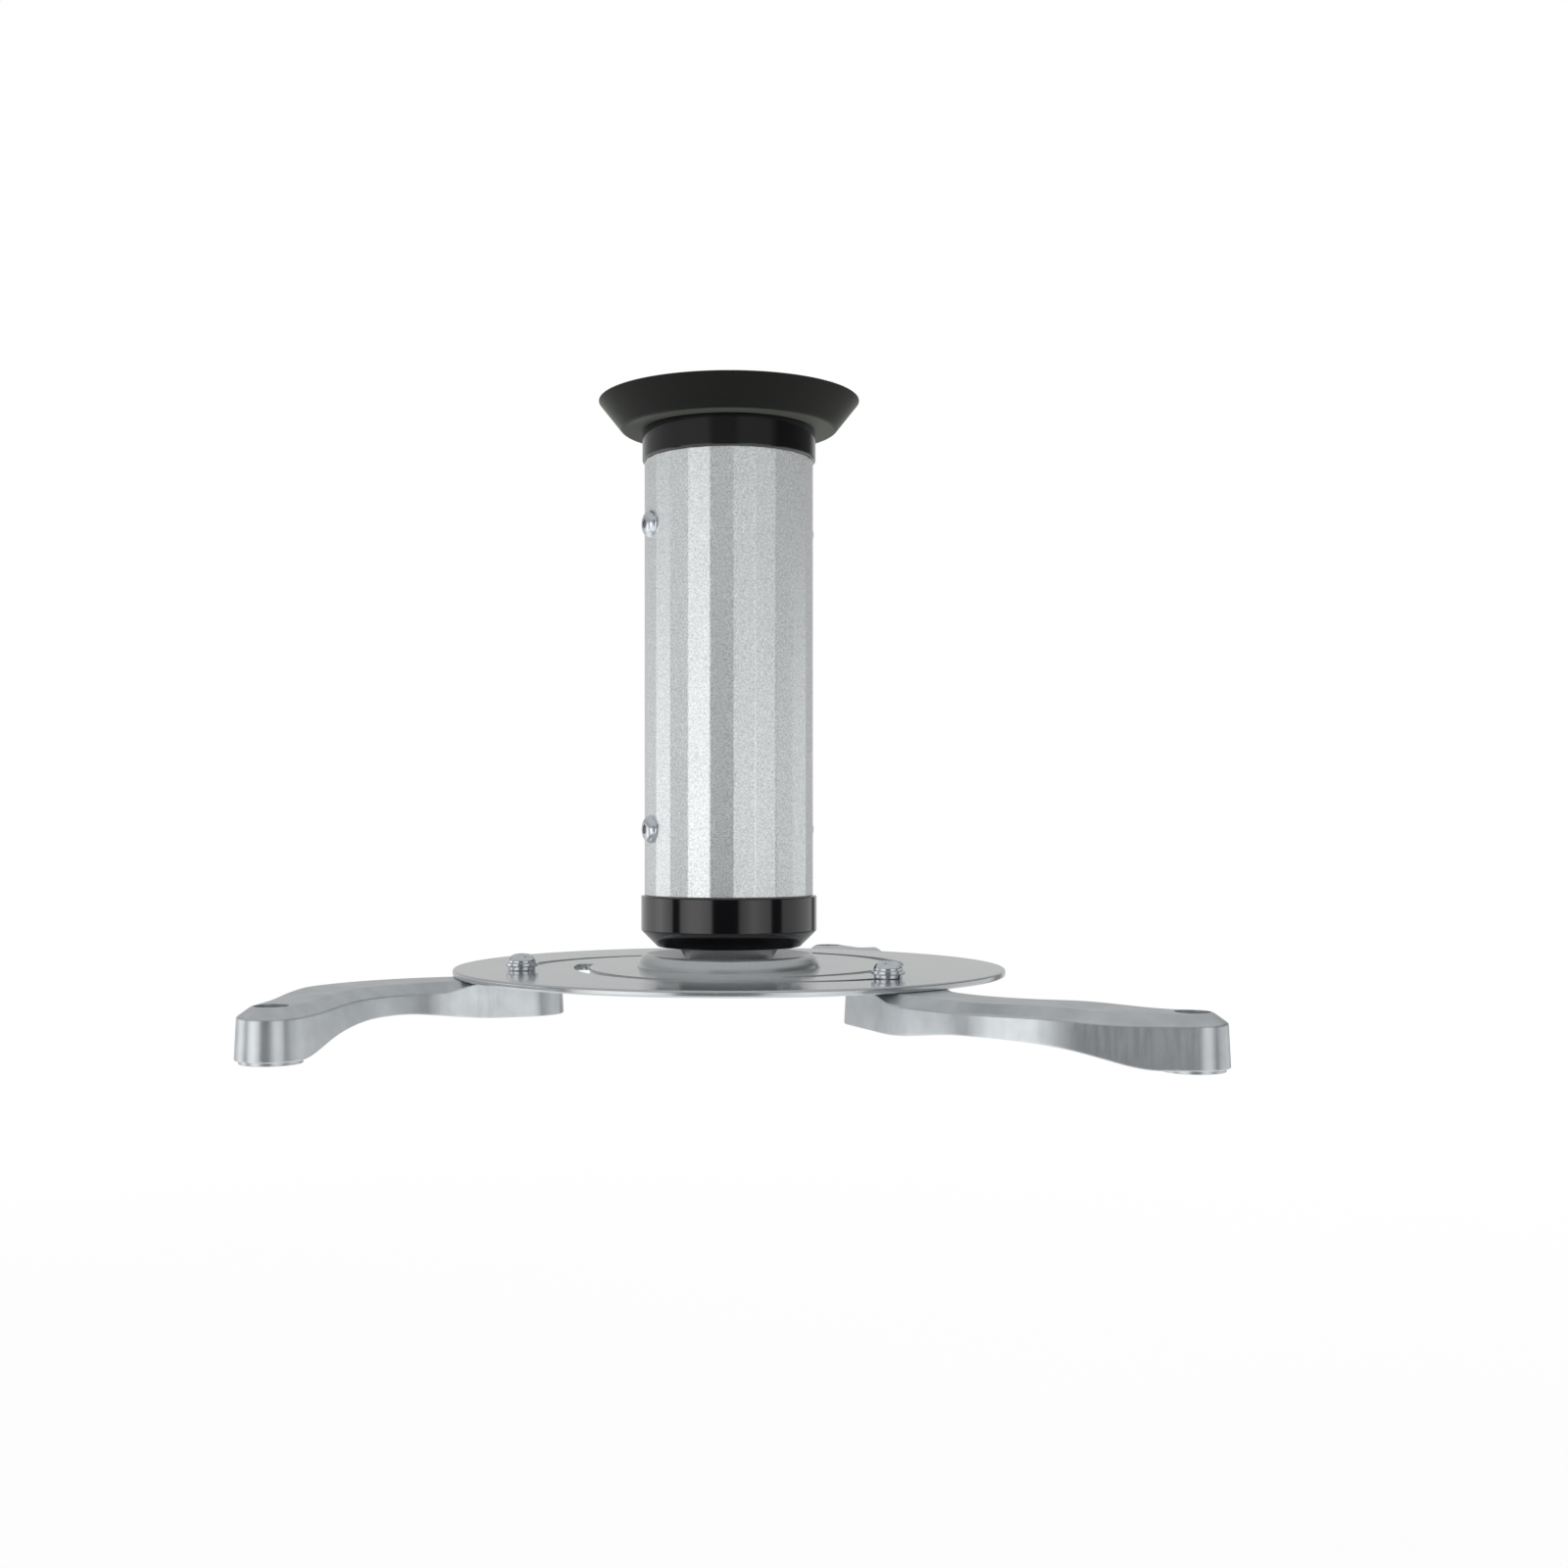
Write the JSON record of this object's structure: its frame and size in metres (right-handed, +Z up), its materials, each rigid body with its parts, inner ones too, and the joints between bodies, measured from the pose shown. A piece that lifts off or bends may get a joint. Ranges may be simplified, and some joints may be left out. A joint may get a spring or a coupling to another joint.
{
  "type": "projector ceiling mount",
  "caption": "Ceiling mount for a projector: short faceted tube, clamped ball joint and a round slotted plate with sliding, swinging arms.",
  "frame": {"origin": "centre of the ceiling plate, on the ceiling face", "axes": "+Z up through the ceiling face, along the tube; the front, as pictured, faces -Y and +X is to its right"},
  "size_m": [0.2836, 0.3027, 0.2143],
  "materials": {
    "cover_black": "matte",
    "collar_black": "gloss",
    "tube_silver": "satin anodised",
    "turned_aluminium": "turned",
    "cast_aluminium": "satin",
    "plate_silver": "glossy silver",
    "zinc_steel": "zinc plated",
    "ball_steel": "polished",
    "seat_nylon": "plain"
  },
  "bodies": {
    "root": {"ceiling_plate": "zinc_steel", "ceiling_spigot": "turned_aluminium", "spigot_screws": "zinc_steel", "ceiling_cover": "cover_black", "upper_collar": "collar_black", "tube": "tube_silver", "upper_side_screws": "zinc_steel", "lower_side_screws": "zinc_steel", "lower_plug": "turned_aluminium", "lower_collar": "collar_black"},
    "seat": {"upper_seat": "seat_nylon"},
    "ball": {"ball": "ball_steel", "centre_washer": "zinc_steel", "centre_bolt": "zinc_steel"},
    "plate": {"mounting_plate": "plate_silver", "stop_ring": "plate_silver", "ring_screws": "zinc_steel"},
    "clamp_right": {"arm_screw_right": "zinc_steel", "flat_washer_right": "zinc_steel", "spring_washer_right": "zinc_steel"},
    "arm_right": {"arm_right": "cast_aluminium"},
    "clamp_back": {"arm_screw_back": "zinc_steel", "flat_washer_back": "zinc_steel", "spring_washer_back": "zinc_steel"},
    "arm_back": {"arm_back": "cast_aluminium"},
    "clamp_left": {"arm_screw_left": "zinc_steel", "flat_washer_left": "zinc_steel", "spring_washer_left": "zinc_steel"},
    "arm_left": {"arm_left": "cast_aluminium"}
  },
  "joints": [
    {"name": "tilt_heading", "type": "hinge", "parent": "root", "child": "seat", "pos_m": [0, 0, -0.179], "axis": [0, 0, 1], "continuous": true},
    {"name": "tilt", "type": "hinge", "parent": "seat", "child": "ball", "pos_m": [0, 0, -0.179], "axis": [0, 1, 0], "range_deg": [-15, 15]},
    {"name": "plate_swivel", "type": "hinge", "parent": "ball", "child": "plate", "pos_m": [0, 0, -0.179], "axis": [0, 0, 1], "continuous": true},
    {"name": "arm_slide_right", "type": "hinge", "parent": "plate", "child": "clamp_right", "pos_m": [0.0117, -0.00217, -0.1948], "axis": [0, 0, 1], "range_deg": [-90, 1]},
    {"name": "arm_swing_right", "type": "hinge", "parent": "clamp_right", "child": "arm_right", "pos_m": [0.05021, -0.05076, -0.2], "axis": [0, 0, 1], "range_deg": [-110, 100]},
    {"name": "arm_slide_back", "type": "hinge", "parent": "plate", "child": "clamp_back", "pos_m": [-0.00397, 0.01122, -0.1948], "axis": [0, 0, 1], "range_deg": [-90, 1]},
    {"name": "arm_swing_back", "type": "hinge", "parent": "clamp_back", "child": "arm_back", "pos_m": [0.01885, 0.06886, -0.2], "axis": [0, 0, 1], "range_deg": [-110, 100]},
    {"name": "arm_slide_left", "type": "hinge", "parent": "plate", "child": "clamp_left", "pos_m": [-0.00773, -0.00905, -0.1948], "axis": [0, 0, 1], "range_deg": [-90, 1]},
    {"name": "arm_swing_left", "type": "hinge", "parent": "clamp_left", "child": "arm_left", "pos_m": [-0.06906, -0.01811, -0.2], "axis": [0, 0, 1], "range_deg": [-110, 100]}
  ]
}
